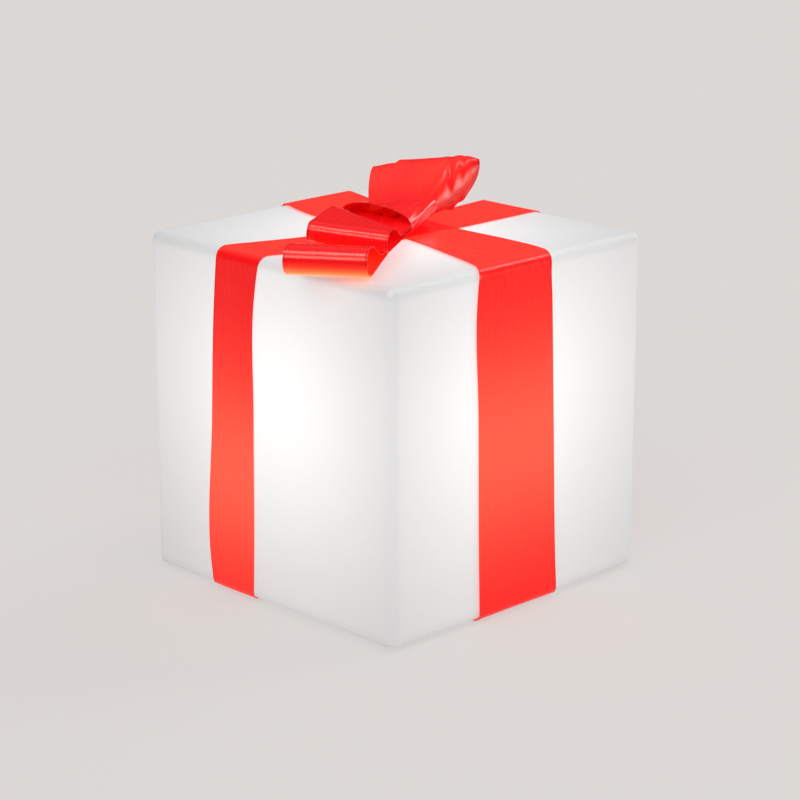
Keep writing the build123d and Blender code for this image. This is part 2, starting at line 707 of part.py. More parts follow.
with BuildPart() as diffuser_screws:
    with Locations((0, 0, cup_top + diffuser_flange_thickness)):
        with PolarLocations(diffuser_screw_circle, 3, start_angle=30):
            disc(diffuser_screw_head_radius, 0, diffuser_screw_head_height)
            Cylinder(diffuser_screw_radius, diffuser_flange_thickness + cup_wall,
                     align=(Align.CENTER, Align.CENTER, Align.MAX))
diffuser_screws.part.label = "diffuser_screws"
export_step(diffuser_screws.part, "parts/diffuser_screws.step")

# Leads from the board to the light column and from the batteries to the board
with BuildPart() as led_leads:
    for hand in (-1, 1):
        y = hand * lead_spread
        with BuildLine() as lead_path:
            FilletPolyline((lead_circle, y, board_top), (lead_circle, y, cup_top + lead_rise),
                           (flat_distance + strip_thickness, y, cup_top + lead_rise), radius=lead_bend)
        with BuildSketch(Plane((lead_circle, y, board_top), z_dir=(0, 0, 1))):
            Circle(lead_radius)
        sweep(path=lead_path.line)
led_leads.part.label = "led_leads"
export_step(led_leads.part, "parts/led_leads.step")

with BuildPart() as battery_leads:
    for hand in (-1, 1):
        y = hand * lead_spread
        with BuildLine() as lead_path:
            FilletPolyline((-lead_circle, y, board_top), (-lead_circle, y, cell_top + holder_plate / 2),
                           (-holder_half, y, cell_top + holder_plate / 2), radius=lead_bend)
        with BuildSketch(Plane((-lead_circle, y, board_top), z_dir=(0, 0, 1))):
            Circle(lead_radius)
        sweep(path=lead_path.line)
battery_leads.part.label = "battery_leads"
export_step(battery_leads.part, "parts/battery_leads.step")
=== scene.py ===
import json
import math

import bpy
import numpy as np
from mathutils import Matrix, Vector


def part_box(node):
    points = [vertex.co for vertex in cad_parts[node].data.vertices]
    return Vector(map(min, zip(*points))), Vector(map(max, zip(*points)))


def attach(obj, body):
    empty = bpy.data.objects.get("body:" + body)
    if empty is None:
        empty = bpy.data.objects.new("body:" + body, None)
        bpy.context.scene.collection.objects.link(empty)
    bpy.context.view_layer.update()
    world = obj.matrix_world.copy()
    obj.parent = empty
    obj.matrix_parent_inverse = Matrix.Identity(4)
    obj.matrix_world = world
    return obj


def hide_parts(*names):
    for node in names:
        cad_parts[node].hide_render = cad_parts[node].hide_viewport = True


# Glowing cube light tied up as a present. Lengths are in millimetres and angles in degrees unless noted
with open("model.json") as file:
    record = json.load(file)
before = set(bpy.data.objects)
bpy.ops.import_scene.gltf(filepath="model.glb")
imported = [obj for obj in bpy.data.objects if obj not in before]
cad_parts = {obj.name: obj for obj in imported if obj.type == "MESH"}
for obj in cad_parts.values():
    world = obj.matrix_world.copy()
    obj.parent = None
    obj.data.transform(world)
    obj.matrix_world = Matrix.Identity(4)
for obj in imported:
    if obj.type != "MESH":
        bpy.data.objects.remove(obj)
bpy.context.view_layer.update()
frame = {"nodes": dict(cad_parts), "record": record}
scene = bpy.context.scene
nodes = frame["nodes"]
mm = 0.001
print("frame loaded:", len(nodes), "nodes")


# sRGB hex to linear colour
def hexColour(text):
    srgb = np.array([int(text[i:i + 2], 16) for i in (1, 3, 5)]) / 255
    linear = np.where(srgb <= 0.04045, srgb / 12.92, ((srgb + 0.055) / 1.055) ** 2.4)
    return (*linear.tolist(), 1.0)


# a node's inputs: a socket is linked, and anything else is set as the value
def setInputs(tree, node, inputs):
    for key, value in inputs.items():
        if isinstance(value, bpy.types.NodeSocket):
            tree.links.new(value, node.inputs[key])
        else:
            node.inputs[key].default_value = value


# one node with its inputs and settings. a Mix of colours has its factor at 0, its colours at 6 and 7 and the
# mixed colour at output 2; a MapRange has its from and to values at 1 to 4
def addNode(tree, kind, inputs=None, **settings):
    node = tree.nodes.new(kind)
    for name, value in settings.items():
        setattr(node, name, value)
    setInputs(tree, node, inputs or {})
    return node


# a new material, its node tree and its shader
def startMaterial(name):
    material = bpy.data.materials.new(name)
    material.use_nodes = True
    return material, material.node_tree, material.node_tree.nodes["Principled BSDF"]


# 0 to 1 with soft ends: a cubic with level ends
def smooth(low, high, value):
    t = np.clip((value - low) / (high - low), 0, 1)
    return t * t * (3 - 2 * t)


# smooth curve through given (place, value) points: cubic pieces with averaged slopes
def curveThrough(points, places):
    x, y = np.array(points, float).T
    slope = np.gradient(y, x)
    i = np.clip(np.searchsorted(x, places) - 1, 0, len(x) - 2)
    width = x[i + 1] - x[i]
    t = np.clip((places - x[i]) / width, 0, 1)
    start = (1 + 2 * t) * (1 - t) ** 2 * y[i] + t * (1 - t) ** 2 * width * slope[i]
    return start + t * t * (3 - 2 * t) * y[i + 1] + t * t * (t - 1) * width * slope[i + 1]


# distance along a row of points, added up from its start
def lengthAlong(points):
    return np.concatenate([[0], np.cumsum(np.linalg.norm(np.diff(points, axis=0), axis=-1))])


# Cube: its size is read from the shell, with the radii that the ribbons bend round
shellLow, shellHigh = (np.array(corner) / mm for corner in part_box("cube_shell"))
cube = {"half": shellHigh[0], "bottom": shellLow[2], "top": shellHigh[2], "edge": 9.0, "baseEdge": 5.0}

# Lamp: the light column inside. its capped end dims the top, and the thicker wall dims the edges, which begin
# and end at shares of the half size
lamp = {"middle": (12.0, -12.0, 205.0), "reach": 165.0, "fall": 1.25, "strength": 0.65, "light": "#fffefd",
        "capFrom": 322.0, "capTo": 335.0, "capped": 0.74, "edgeFrom": 0.925, "edgeTo": 0.984, "edged": 0.88}

# Shell: rotomoulded polyethylene, a soft white skin with a faint orange peel that lets the lamp through
shell = {"skin": "#b6b6b7", "shade": "#b0b1b2", "cloud": 90.0, "peel": 7.0, "peelDepth": 0.4,
         "peelBump": 0.05, "roughness": 0.52, "ior": 1.51}


# the glow is (reach / distance from the lamp) to the power of the fall, times the dimming of top and edges
def rotomouldedPolyethylene(look):
    material, tree, shader = startMaterial("rotomoulded_polyethylene")
    place = addNode(tree, "ShaderNodeTexCoord").outputs["Object"]
    cloud = addNode(tree, "ShaderNodeTexNoise", {
        "Vector": place, "Scale": 1 / (look["cloud"] * mm), "Detail": 2.0})
    tint = addNode(tree, "ShaderNodeMix", {
        0: cloud.outputs["Fac"], 6: hexColour(look["skin"]), 7: hexColour(look["shade"])}, data_type="RGBA")
    peel = addNode(tree, "ShaderNodeTexNoise", {
        "Vector": place, "Scale": 1 / (look["peel"] * mm), "Detail": 3.0})
    bump = addNode(tree, "ShaderNodeBump", {
        "Height": peel.outputs["Fac"], "Strength": look["peelBump"], "Distance": look["peelDepth"] * mm})

    middle = (np.array(lamp["middle"]) * mm).tolist()
    away = addNode(tree, "ShaderNodeVectorMath", {0: place, 1: middle}, operation="SUBTRACT")
    away = addNode(tree, "ShaderNodeVectorMath", {0: away.outputs[0]}, operation="LENGTH").outputs["Value"]
    glow = addNode(tree, "ShaderNodeMath", {0: lamp["reach"] * mm, 1: away}, operation="DIVIDE")
    glow = addNode(tree, "ShaderNodeMath", {0: glow.outputs[0], 1: lamp["fall"]}, operation="POWER")

    height = addNode(tree, "ShaderNodeSeparateXYZ", {0: place})
    cap = addNode(tree, "ShaderNodeMapRange", {
        0: height.outputs["Z"], 1: lamp["capFrom"] * mm, 2: lamp["capTo"] * mm,
        3: lamp["strength"], 4: lamp["strength"] * lamp["capped"]}, interpolation_type="SMOOTHSTEP")
    glow = addNode(tree, "ShaderNodeMath", {0: glow.outputs[0], 1: cap.outputs[0]}, operation="MULTIPLY")

    # along an edge the second largest of the three shares of the half size comes near 1
    centre = ((shellLow + shellHigh) / 2 * mm).tolist()
    shrink = (2 / (shellHigh - shellLow) / mm).tolist()
    share = addNode(tree, "ShaderNodeVectorMath", {0: place, 1: centre}, operation="SUBTRACT")
    share = addNode(tree, "ShaderNodeVectorMath", {0: share.outputs[0], 1: shrink}, operation="MULTIPLY")
    share = addNode(tree, "ShaderNodeVectorMath", {0: share.outputs[0]}, operation="ABSOLUTE").outputs[0]
    axes = addNode(tree, "ShaderNodeSeparateXYZ", {0: share})
    second = addNode(tree, "ShaderNodeVectorMath", {0: share, 1: (1, 1, 1)}, operation="DOT_PRODUCT")
    second = second.outputs["Value"]
    for kind in ("MAXIMUM", "MINIMUM"):
        most = addNode(tree, "ShaderNodeMath", {0: axes.outputs["X"], 1: axes.outputs["Y"]}, operation=kind)
        most = addNode(tree, "ShaderNodeMath", {0: most.outputs[0], 1: axes.outputs["Z"]}, operation=kind)
        rest = addNode(tree, "ShaderNodeMath", {0: second, 1: most.outputs[0]}, operation="SUBTRACT")
        second = rest.outputs[0]
    edge = addNode(tree, "ShaderNodeMapRange", {
        0: second, 1: lamp["edgeFrom"], 2: lamp["edgeTo"], 3: 1.0, 4: lamp["edged"]},
        interpolation_type="SMOOTHSTEP")
    glow = addNode(tree, "ShaderNodeMath", {0: glow.outputs[0], 1: edge.outputs[0]}, operation="MULTIPLY")

    setInputs(tree, shader, {
        "Base Color": tint.outputs[2], "Roughness": look["roughness"], "IOR": look["ior"],
        "Normal": bump.outputs["Normal"],
        "Emission Color": hexColour(lamp["light"]), "Emission Strength": glow.outputs[0]})
    return material


# Satin: polyester warp floats run along the ribbon, so it has long soft highlights and fine lines along it.
# threads are really 0.2 mm apart and are drawn wider so that they show. draw stretches them along the ribbon
satin = {"face": "#ff161b", "deep": "#f40d15", "edge": "#cf1016", "gloss": "#ffc8b8", "specular": 0.26,
         "ior": 1.46, "anisotropic": 0.4, "roughness": 0.25, "uneven": 0.06, "unevenFrom": 0.35,
         "unevenTo": 0.65, "thread": 1.6, "threadBump": 0.12, "threadDepth": 0.3, "slub": 14.0, "draw": 0.06,
         "edgeBump": 0.5, "edgeDepth": 0.4}

# painted glow: the thin cloth is given emission of a plain red all over, and warmer where the light is close
# behind it
satinPaintedGlow = {
    "satin_ribbon": {"warm": "#ff6f52", "plain": 0.24, "lit": 0.42},
    "satin_bow": {"warm": "#ff9350", "plain": 0.14, "lit": 1.2},
}


def redSatin(name, look, light):
    material, tree, shader = startMaterial(name)
    flat = addNode(tree, "ShaderNodeUVMap", uv_map="cloth")
    drawn = addNode(tree, "ShaderNodeMapping", {"Vector": flat.outputs["UV"], "Scale": (1, look["draw"], 1)})
    slub, thread = (addNode(tree, "ShaderNodeTexNoise", {
        "Vector": drawn.outputs[0], "Scale": 1 / (look[size] * mm), "Detail": detail}).outputs["Fac"]
        for size, detail in (("slub", 4.0), ("thread", 2.0)))
    glow, selvage = (addNode(tree, "ShaderNodeAttribute", attribute_name=label).outputs["Fac"]
                     for label in ("glow", "selvage"))
    tint = addNode(tree, "ShaderNodeMix", {
        0: slub, 6: hexColour(look["deep"]), 7: hexColour(look["face"])}, data_type="RGBA")
    hem = addNode(tree, "ShaderNodeMix", {
        0: selvage, 6: tint.outputs[2], 7: hexColour(look["edge"])}, data_type="RGBA")
    lines = addNode(tree, "ShaderNodeBump", {
        "Height": thread, "Strength": look["threadBump"], "Distance": look["threadDepth"] * mm})
    ridge = addNode(tree, "ShaderNodeBump", {
        "Height": selvage, "Strength": look["edgeBump"], "Distance": look["edgeDepth"] * mm,
        "Normal": lines.outputs["Normal"]})
    rough = addNode(tree, "ShaderNodeMapRange", {
        0: thread, 1: look["unevenFrom"], 2: look["unevenTo"],
        3: look["roughness"] - look["uneven"], 4: look["roughness"] + look["uneven"]})
    # painted glow: emission of the deep red, warmer and stronger where the glow attribute is high
    shine = addNode(tree, "ShaderNodeMix", {
        0: glow, 6: hexColour(look["deep"]), 7: hexColour(light["warm"])}, data_type="RGBA")
    level = addNode(tree, "ShaderNodeMath", {
        0: glow, 1: light["lit"], 2: light["plain"]}, operation="MULTIPLY_ADD")
    setInputs(tree, shader, {
        "Base Color": hem.outputs[2], "Roughness": rough.outputs[0], "Normal": ridge.outputs["Normal"],
        "IOR": look["ior"], "Anisotropic": look["anisotropic"],
        "Specular IOR Level": look["specular"], "Specular Tint": hexColour(look["gloss"]),
        "Emission Color": shine.outputs[2], "Emission Strength": level.outputs[0]})
    return material


# Fittings: two colours mottled at the material's own grain, with roughness and bump of the same grain
grainLook = {"uneven": 0.06, "depth": 0.2}
finishes = {  # slot: name, two colours, grain, roughness, bump, metallic
    "black_rubber": ("moulded_rubber", "#18181a", "#232325", 2.2, 0.78, 0.25, 0.0),  # dull, with a soft skin
    "zinc_steel": ("zinc_plated_steel", "#b9b8b2", "#c9c8c3", 1.4, 0.34, 0.06, 1.0),  # pale, a little cloudy
    "clear_nylon": ("natural_nylon", "#dddcd6", "#e6e5e0", 5.0, 0.4, 0.05, 0.0),  # milky and waxy
    "grey_abs": ("spark_textured_abs", "#8d9092", "#989b9c", 1.1, 0.55, 0.3, 0.0),  # even, finely sandy
    "green_fibreglass": ("solder_masked_fibreglass", "#123f22", "#1a5230", 3.0, 0.35, 0.1, 0.0),  # lacquered
    "black_moulding": ("moulded_nylon_black", "#1b1b1c", "#242425", 1.6, 0.5, 0.15, 0.0),  # half matt
    "cell_sleeve": ("shrink_sleeve", "#1f5a9e", "#2566ae", 9.0, 0.3, 0.05, 0.0),  # tight glossy film
    "natural_aluminium": ("extruded_aluminium", "#c3c5c7", "#d0d2d3", 1.2, 0.38, 0.08, 1.0),  # unpolished
    "white_board": ("white_solder_mask", "#e6e6e2", "#efefec", 4.0, 0.4, 0.05, 0.0),  # chalky lacquer
    "phosphor_resin": ("phosphor_resin", "#f0d34a", "#f6dd68", 0.8, 0.3, 0.1, 0.0),  # finely powdered yellow
    "opal_acrylic": ("opal_acrylic", "#eeeeea", "#f4f4f1", 20.0, 0.3, 0.02, 0.0),  # smooth even milk white
    "red_pvc": ("red_pvc", "#a81414", "#b81a1a", 2.0, 0.5, 0.1, 0.0),  # soft wire covering
    "white_pvc": ("white_pvc", "#d9d9d5", "#e2e2df", 2.0, 0.5, 0.1, 0.0),  # the same in white
}


def grainFinish(name, dark, pale, size, roughness, bumpStrength, metallic):
    material, tree, shader = startMaterial(name)
    place = addNode(tree, "ShaderNodeTexCoord")
    grain = addNode(tree, "ShaderNodeTexNoise", {
        "Vector": place.outputs["Object"], "Scale": 1 / (size * mm), "Detail": 4.0}).outputs["Fac"]
    tint = addNode(tree, "ShaderNodeMix", {
        0: grain, 6: hexColour(dark), 7: hexColour(pale)}, data_type="RGBA")
    rough = addNode(tree, "ShaderNodeMapRange", {
        0: grain, 3: roughness - grainLook["uneven"], 4: roughness + grainLook["uneven"]})
    bump = addNode(tree, "ShaderNodeBump", {
        "Height": grain, "Strength": bumpStrength, "Distance": grainLook["depth"] * mm})
    setInputs(tree, shader, {
        "Base Color": tint.outputs[2], "Metallic": metallic,
        "Roughness": rough.outputs[0], "Normal": bump.outputs["Normal"]})
    return material


slotMaterials = {slot: grainFinish(*look) for slot, look in finishes.items()}
slotMaterials["opal_polyethylene"] = rotomouldedPolyethylene(shell)
ribbonSatin, bowSatin = (redSatin(name, satin, light) for name, light in satinPaintedGlow.items())
slotMaterials["red_satin"] = bowSatin
for row in frame["record"]["subparts"]:
    node = nodes[row["node"]]
    node.data.materials.clear()
    node.data.materials.append(slotMaterials[row["material_slot"]])
print("materials ready:", len(bpy.data.materials))

# Cloth of every ribbon: the selvage is its woven edge, which fades out over the width given
cloth = {"thickness": 0.5, "selvage": 2.4, "selvageFull": 0.3}


# mesh from a grid of points (rows, columns, xyz), with a UV map of the flat cloth and two values per point:
# glow, where light comes through, and selvage. a quad joins four neighbours, and in a closed grid the last
# column joins the first
def gridPiece(name, points, uv, glow, selvage, closed=False):
    rows, columns = points.shape[:2]
    index = np.arange(rows * columns).reshape(rows, columns)
    if closed:
        around = 2 * uv[0, -1, 0] - uv[0, -2, 0]
        index = np.hstack([index, index[:, :1]])
        uv = np.concatenate([uv, uv[:, :1] + (around, 0)], axis=1)
    quads, corners = (np.stack([grid[:-1, :-1], grid[:-1, 1:], grid[1:, 1:], grid[1:, :-1]], axis=2)
                      for grid in (index, uv * mm))
    quads = quads.reshape(-1, 4)
    mesh = bpy.data.meshes.new(name)
    mesh.from_pydata((points.reshape(-1, 3) * mm).tolist(), [], quads.tolist())
    mesh.polygons.foreach_set("use_smooth", np.ones(len(quads), bool))
    mesh.uv_layers.new(name="cloth").data.foreach_set("uv", corners.astype(np.float32).ravel())
    for label, values in (("glow", glow), ("selvage", selvage)):
        field = mesh.attributes.new(label, "FLOAT", "POINT")
        field.data.foreach_set("value", values.astype(np.float32).ravel())
    mesh.update()
    piece = bpy.data.objects.new(name, mesh)
    scene.collection.objects.link(piece)
    return piece


# gives the surface its thickness (to both sides at 0, outwards at 1) and its satin, in place of the CAD node
def finishCloth(piece, node, material, outwards=0.0):
    solid = piece.modifiers.new("thickness", "SOLIDIFY")
    solid.thickness = cloth["thickness"] * mm
    solid.offset = outwards
    piece.data.materials.append(material)
    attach(piece, "shell")
    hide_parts(node)


# places across a ribbon from -1 to 1, closer together towards the selvages (a sine of even steps)
def acrossPlaces(columns):
    return np.sin(np.linspace(-math.pi / 2, math.pi / 2, columns))


# 1 on the outer threads of a ribbon and 0 on its face, from the distance to the nearer edge
def selvageBand(hand, width):
    return smooth(cloth["selvage"], cloth["selvageFull"], (1 - np.abs(hand)) * width / 2)


# Ribbons of the cross: each glows in a soft band round the lit height. edges are listed as (unrolled
# distance from the middle of the top, place across)
wrap = {"tail": 44.0, "step": 4.0, "swell": 0.35, "swellLength": 47.0,
        "topGlow": 0.5, "topFrom": 0.6, "flatFrom": 0.9, "shadow": 0.95, "shadowEdge": 1.0}
ribbons = {
    "ribbon_front_back": {
        "axis": 1, "lift": 0.6, "lit": 125.0, "litSpread": 120.0, "columns": 41,
        "one": [(-530, -78), (-494, -79), (-466, -82.5), (-330, -76.5), (-212, -70), (-172, -66), (-155, -64),
                (-133, -56), (-78, -37), (0, -28), (66, -27), (160, -35), (340, -30), (530, -22)],
        "other": [(-530, -22), (-494, -21.5), (-453, -20), (-316, -17.5), (-202, -14.5), (-172, -9),
                  (-153, -4), (-120, 12), (-78, 29), (-56, 32), (0, 36), (66, 37), (160, 37), (340, 43),
                  (530, 50)],
    },
    "ribbon_left_right": {
        "axis": 0, "lift": 1.5, "lit": 165.0, "litSpread": 125.0, "columns": 51,
        "one": [(-530, 6), (-330, 5), (-160, 3), (-128, -8), (-100, -15), (-50, -19), (0, -20), (45, -24),
                (100, -37), (149, -51), (172, -59), (190, -61), (300, -58.6), (434, -56.3), (494, -54.7),
                (530, -54)],
        "other": [(-530, 98), (-330, 95), (-160, 90), (-90, 71), (0, 47), (46, 43), (100, 44), (140, 42),
                  (172, 36), (205, 37.5), (320, 42), (460, 47.6), (494, 49.7), (530, 50)],
    },
}


# profile of the wrapped cube at a height over its skin: half the top, a quarter circle, the face, a quarter
# circle and the tail, and the same on the far side. gives places (run, z), outward normals, unrolled distance
def wrapProfile(lift):
    flat, arc, heel = cube["half"] - cube["edge"], cube["edge"] + lift, cube["baseEdge"] + lift
    upright = cube["top"] - cube["bottom"] - cube["edge"] - cube["baseEdge"]
    bend, tuck = math.pi / 2 * arc, math.pi / 2 * heel
    ends = np.cumsum([0, flat, bend, upright, tuck, wrap["tail"] - cube["baseEdge"]])
    away = np.linspace(0, ends[-1], int(ends[-1] / wrap["step"]))
    turn = np.clip((away - ends[1]) / bend, 0, 1) * math.pi / 2
    fold = np.clip((away - ends[3]) / tuck, 0, 1) * math.pi / 2
    run = np.minimum(away, flat) + arc * np.sin(turn)
    run = run - heel * (1 - np.cos(fold)) - np.clip(away - ends[4], 0, None)
    z = cube["top"] + lift - arc * (1 - np.cos(turn)) - np.clip(away - ends[2], 0, upright)
    z = z - heel * np.sin(fold)
    both = lambda right, sign: np.concatenate([sign * right[:0:-1], right])
    angle = turn + fold
    return both(run, -1), both(z, 1), both(np.sin(angle), -1), both(np.cos(angle), 1), both(away, -1)


# a ribbon is the wrapped profile, spread evenly between its two edges and lifted along its normals in a slow
# swell. it glows in a bell curve of the height, and evenly on the top
def layRibbon(name, look):
    run, z, outRun, outZ, away = wrapProfile(look["lift"])
    hand = acrossPlaces(look["columns"])
    share = 0.5 + 0.5 * hand
    one, other = curveThrough(look["one"], away), curveThrough(look["other"], away)
    side = one[:, None] + (other - one)[:, None] * share
    rise = wrap["swell"] * (1 + np.sin(away / wrap["swellLength"])[:, None] * np.sin(math.pi * share))
    points = np.zeros((*side.shape, 3))
    points[..., look["axis"]] = run[:, None] + outRun[:, None] * rise
    points[..., 1 - look["axis"]] = side
    points[..., 2] = z[:, None] + outZ[:, None] * rise
    uv = np.stack(np.broadcast_arrays(side, away[:, None]), axis=-1)
    glow = np.exp(-((points[..., 2] - look["lit"]) / look["litSpread"]) ** 2)
    glow = glow + (wrap["topGlow"] - glow) * smooth(wrap["topFrom"], 1, outZ)[:, None]
    selvage = selvageBand(hand[None, :], (other - one)[:, None])
    if look["axis"] == 0:
        # at the crossing the other ribbon lies under this one and keeps the light from it
        under = ribbons["ribbon_front_back"]
        left, right = (curveThrough(under[edge], points[..., 1]) for edge in ("one", "other"))
        inside = np.minimum(points[..., 0] - left, right - points[..., 0])
        covered = smooth(-wrap["shadowEdge"], wrap["shadowEdge"], inside) * (outZ > wrap["flatFrom"])[:, None]
        glow = glow * (1 - wrap["shadow"] * covered)
        # turned round, so that its faces point outwards too
        points, uv, glow, selvage = (grid[:, ::-1] for grid in (points, uv, glow, selvage))
    piece = gridPiece(name.replace("ribbon", "satin"), points, uv, glow, selvage)
    finishCloth(piece, name, ribbonSatin, outwards=1.0)


for name, look in ribbons.items():
    layRibbon(name, look)
print("ribbons laid")

# Bow: loops, knot and waist stand on the crossing. less light comes through in folds and near the knot
bow = {"base": cube["top"] + 2.0, "rows": 160, "columns": 73, "pleats": 3.5, "pleatReach": 0.25,
       "foldEnd": 0.9, "foldUnder": 0.2, "foldShade": 0.25,
       "rootShade": 0.1, "rootFrom": 0.15, "rootTo": 0.45}


# directions along, across and out of a piece, from heading, tilt and roll
def bowAxes(look):
    h, t, r = np.radians([look["heading"], look["tilt"], look["roll"]])
    along = np.array([np.cos(h) * np.cos(t), np.sin(h) * np.cos(t), np.sin(t)])
    across = np.array([-np.sin(h), np.cos(h), 0])
    out = np.cross(along, across)
    return along, np.cos(r) * across + np.sin(r) * out, np.cos(r) * out - np.sin(r) * across


# light from the white top comes through the under side of a roll: round its front (in radians), and below
rollLight = {"roundFrom": 1.25, "roundTo": 2.7, "root": 0.04, "midFrom": 0.4, "midTo": 0.9, "mid": 0.18,
             "endFrom": 0.94, "end": 0.78}


# side view of a rolled loop at each place across: up from the root to a crest, on to the top of the roll,
# half a circle round the front and flat back. crest and radius change evenly from one selvage to the other.
# gives distance out, height, layer (1 on the upper cloth, -1 on the lower) and the light that comes through
def rolledProfile(look, hand):
    share = 0.5 + 0.5 * hand
    pairs = look["radius"], look["crest"], look["hump"]
    radius, crest, hump = (first + (last - first) * share for first, last in pairs)
    low, neck, middle = look["low"], look["neck"], look["reach"] - radius
    back = np.linspace(0, 1, bow["rows"] // 2)[:-1, None]
    half = np.linspace(0, math.pi, bow["rows"] // 4)[:-1, None]
    lower = back[::2][::-1]
    climb = smooth(crest - look["climb"], crest, back * middle)
    hump = hump * climb * (1 - smooth(crest, middle + 1, back * middle))
    upper = neck + (low + 2 * radius - neck) * climb + hump
    run = np.concatenate([back * middle, middle + radius * np.sin(half), middle * lower])
    up = np.concatenate([upper, low + radius + radius * np.cos(half), low * lower + 0 * hand])
    layer = np.concatenate([np.ones_like(back), np.cos(half), -np.ones_like(lower)])
    front = smooth(rollLight["roundFrom"], rollLight["roundTo"], half)
    below = rollLight["root"] + rollLight["mid"] * smooth(rollLight["midFrom"], rollLight["midTo"], lower)
    below = below + rollLight["end"] * smooth(rollLight["endFrom"], 1, lower)
    return run, up, layer, look["through"] * np.concatenate([0 * back, front, below])


# side view of a teardrop loop: the angle runs from the root over the far end and back. the height is its sine
# times a power of the half angle's sine, the curl, which leans the swell outwards. gives what a roll gives
def teardropProfile(look, hand):
    angle = np.radians(np.linspace(look["open"], 360 - look["open"], bow["rows"]))[:, None]
    swell = lambda place: np.sin(place) * np.sin(place / 2) ** look["curl"]
    fine = np.linspace(0, math.pi, 400)
    up = look["height"] * swell(angle) / swell(fine).max()
    up = up * np.where(angle < math.pi, look["share"], 1 - look["share"])
    up = up + look["gap"] * np.cos(angle / 2) + 0 * hand
    far = (1 - np.cos(angle)) / 2
    layer = np.clip(look["tipTurn"] * np.cos(angle / 2), -1, 1)
    through = look["through"] * (1 - look["tipShade"] * smooth(look["tipFrom"], look["tipTo"], far))
    return look["reach"] * far + 0 * hand, up, layer, through


# creases are (place across at the tip, place across halfway, width, depth); places across go from -1 to 1
loops = {
    "bow_loop_lower": {
        "profile": rolledProfile, "root": (-4.0, -5.7, 7.6), "heading": -59.5, "tilt": -0.9, "roll": 1.2,
        "reach": 208.0, "radius": (13.3, 13.3), "low": -4.0, "neck": 3.0, "crest": (194.0, 194.0),
        "hump": (0.0, 0.0), "climb": 60.0, "through": 1.0,
        "rootWidth": 44.0, "endWidth": 77.0, "spread": 1.0, "pleat": 1.0,
        "creases": [(-0.55, -0.55, 0.16, 0.5), (0.3, 0.3, 0.2, 0.4)], "rests": ["cube_shell"],
    },
    "bow_loop_upper": {
        "profile": rolledProfile, "root": (-2.0, -5.7, 13.2), "heading": -59.2, "tilt": 2.4, "roll": -5.0,
        "reach": 149.0, "radius": (9.0, 9.5), "low": -4.0, "neck": 2.0, "crest": (78.0, 130.0),
        "hump": (3.5, 0.5), "climb": 45.0, "through": 0.1,
        "rootWidth": 40.0, "endWidth": 75.0, "spread": 0.25, "pleat": 1.0,
        "creases": [(-0.2, -0.2, 0.3, 1.0)], "rests": ["bow_loop_lower"],
    },
    "bow_loop_back": {
        "profile": teardropProfile, "root": (-5.8, 4.2, 11.0), "heading": 115.6, "tilt": 15.2, "roll": -7.2,
        "reach": 109.5, "height": 33.8, "share": 0.5, "curl": 1.0, "open": 12.0, "gap": 1.5, "through": 0.17,
        "tipTurn": 6.0, "tipShade": 0.75, "tipFrom": 0.72, "tipTo": 0.96,
        "rootWidth": 46.0, "endWidth": 105.0, "spread": 0.75, "pleat": 0.6,
        "creases": [(-0.5, -0.95, 0.06, 3.4), (-0.74, -1.1, 0.05, 2.2), (0.2, 0.2, 0.35, 1.2)],
        "rests": ["bow_knot"],
        "pressed": {"shut": 0.55, "shutShort": 0.03, "openShort": 0.06, "openFrom": 0.65, "corner": 5.0,
                    "cornerFrom": 0.3, "step": 7.5, "stepFrom": 0.5, "stepTo": 0.58, "stepUnder": 0.3},
    },
}


# a loop pressed together at one selvage: there its upper layer comes down to the lower one in a rounded
# corner, a circle of the third power. the far end lifts on that side and steps down on the other
def pressLoop(press, run, lift, far, layer, hand):
    inward = np.clip((press["shut"] - 1 - hand) / press["shut"], 0, 1)
    closing = (1 - inward ** 3) ** (1 / 3)
    shorter = press["shutShort"] * (1 - closing) + press["openShort"] * smooth(press["openFrom"], 1, hand)
    corner = press["corner"] * smooth(press["cornerFrom"], 1, -hand) * far ** 4
    step = press["step"] * smooth(press["stepFrom"], press["stepTo"], hand) * far ** 6
    step = step * smooth(-1, press["stepUnder"], layer)
    return run * (1 - shorter), lift - 2 * lift * (1 - closing) * (layer > 0) + corner - step


# loop surface: its profile carried across the ribbon, which widens to the far end by a power of the distance.
# pleats are a cosine across that dies away from the root, and a crease is a bell curve across
def bowLoop(name, look):
    along, across, out = bowAxes(look)
    hand = acrossPlaces(bow["columns"])[None, :]
    run, lift, layer, glow = look["profile"](look, hand)
    far = np.clip(run / look["reach"], 0, 1)
    width = look["rootWidth"] + (look["endWidth"] - look["rootWidth"]) * far ** look["spread"]
    if "pressed" in look:
        run, lift = pressLoop(look["pressed"], run, lift, far, layer, hand)
    pleat = look["pleat"] * np.exp(-far / bow["pleatReach"]) * np.cos(bow["pleats"] * math.pi * hand)
    lift = lift + pleat * layer
    folded = 0 * lift
    for tip, halfway, spread, depth in look["creases"]:
        middle = tip + 2 * (halfway - tip) * (1 - far)
        fold = np.exp(-((hand - middle) / spread) ** 2) * np.sin(math.pi * np.clip(far, 0, bow["foldEnd"]))
        folded = folded + depth * fold
    lift = lift - folded * np.clip(layer, -bow["foldUnder"], 1)
    glow = glow * (1 - np.clip(folded * bow["foldShade"], 0, 1))
    glow = glow - bow["rootShade"] * (1 - smooth(bow["rootFrom"], bow["rootTo"], far))
    side = width / 2 * hand
    points = np.array(look["root"]) + (0, 0, bow["base"]) + run[..., None] * along
    points = points + side[..., None] * across + lift[..., None] * out
    length = lengthAlong(points[:, bow["columns"] // 2])
    uv = np.stack(np.broadcast_arrays(side, length[:, None]), axis=-1)
    piece = gridPiece(name.replace("bow", "satin"), points, uv, glow, selvageBand(hand, width))
    finishCloth(piece, name, bowSatin)


for name, look in loops.items():
    bowLoop(name, look)
print("bow loops made")

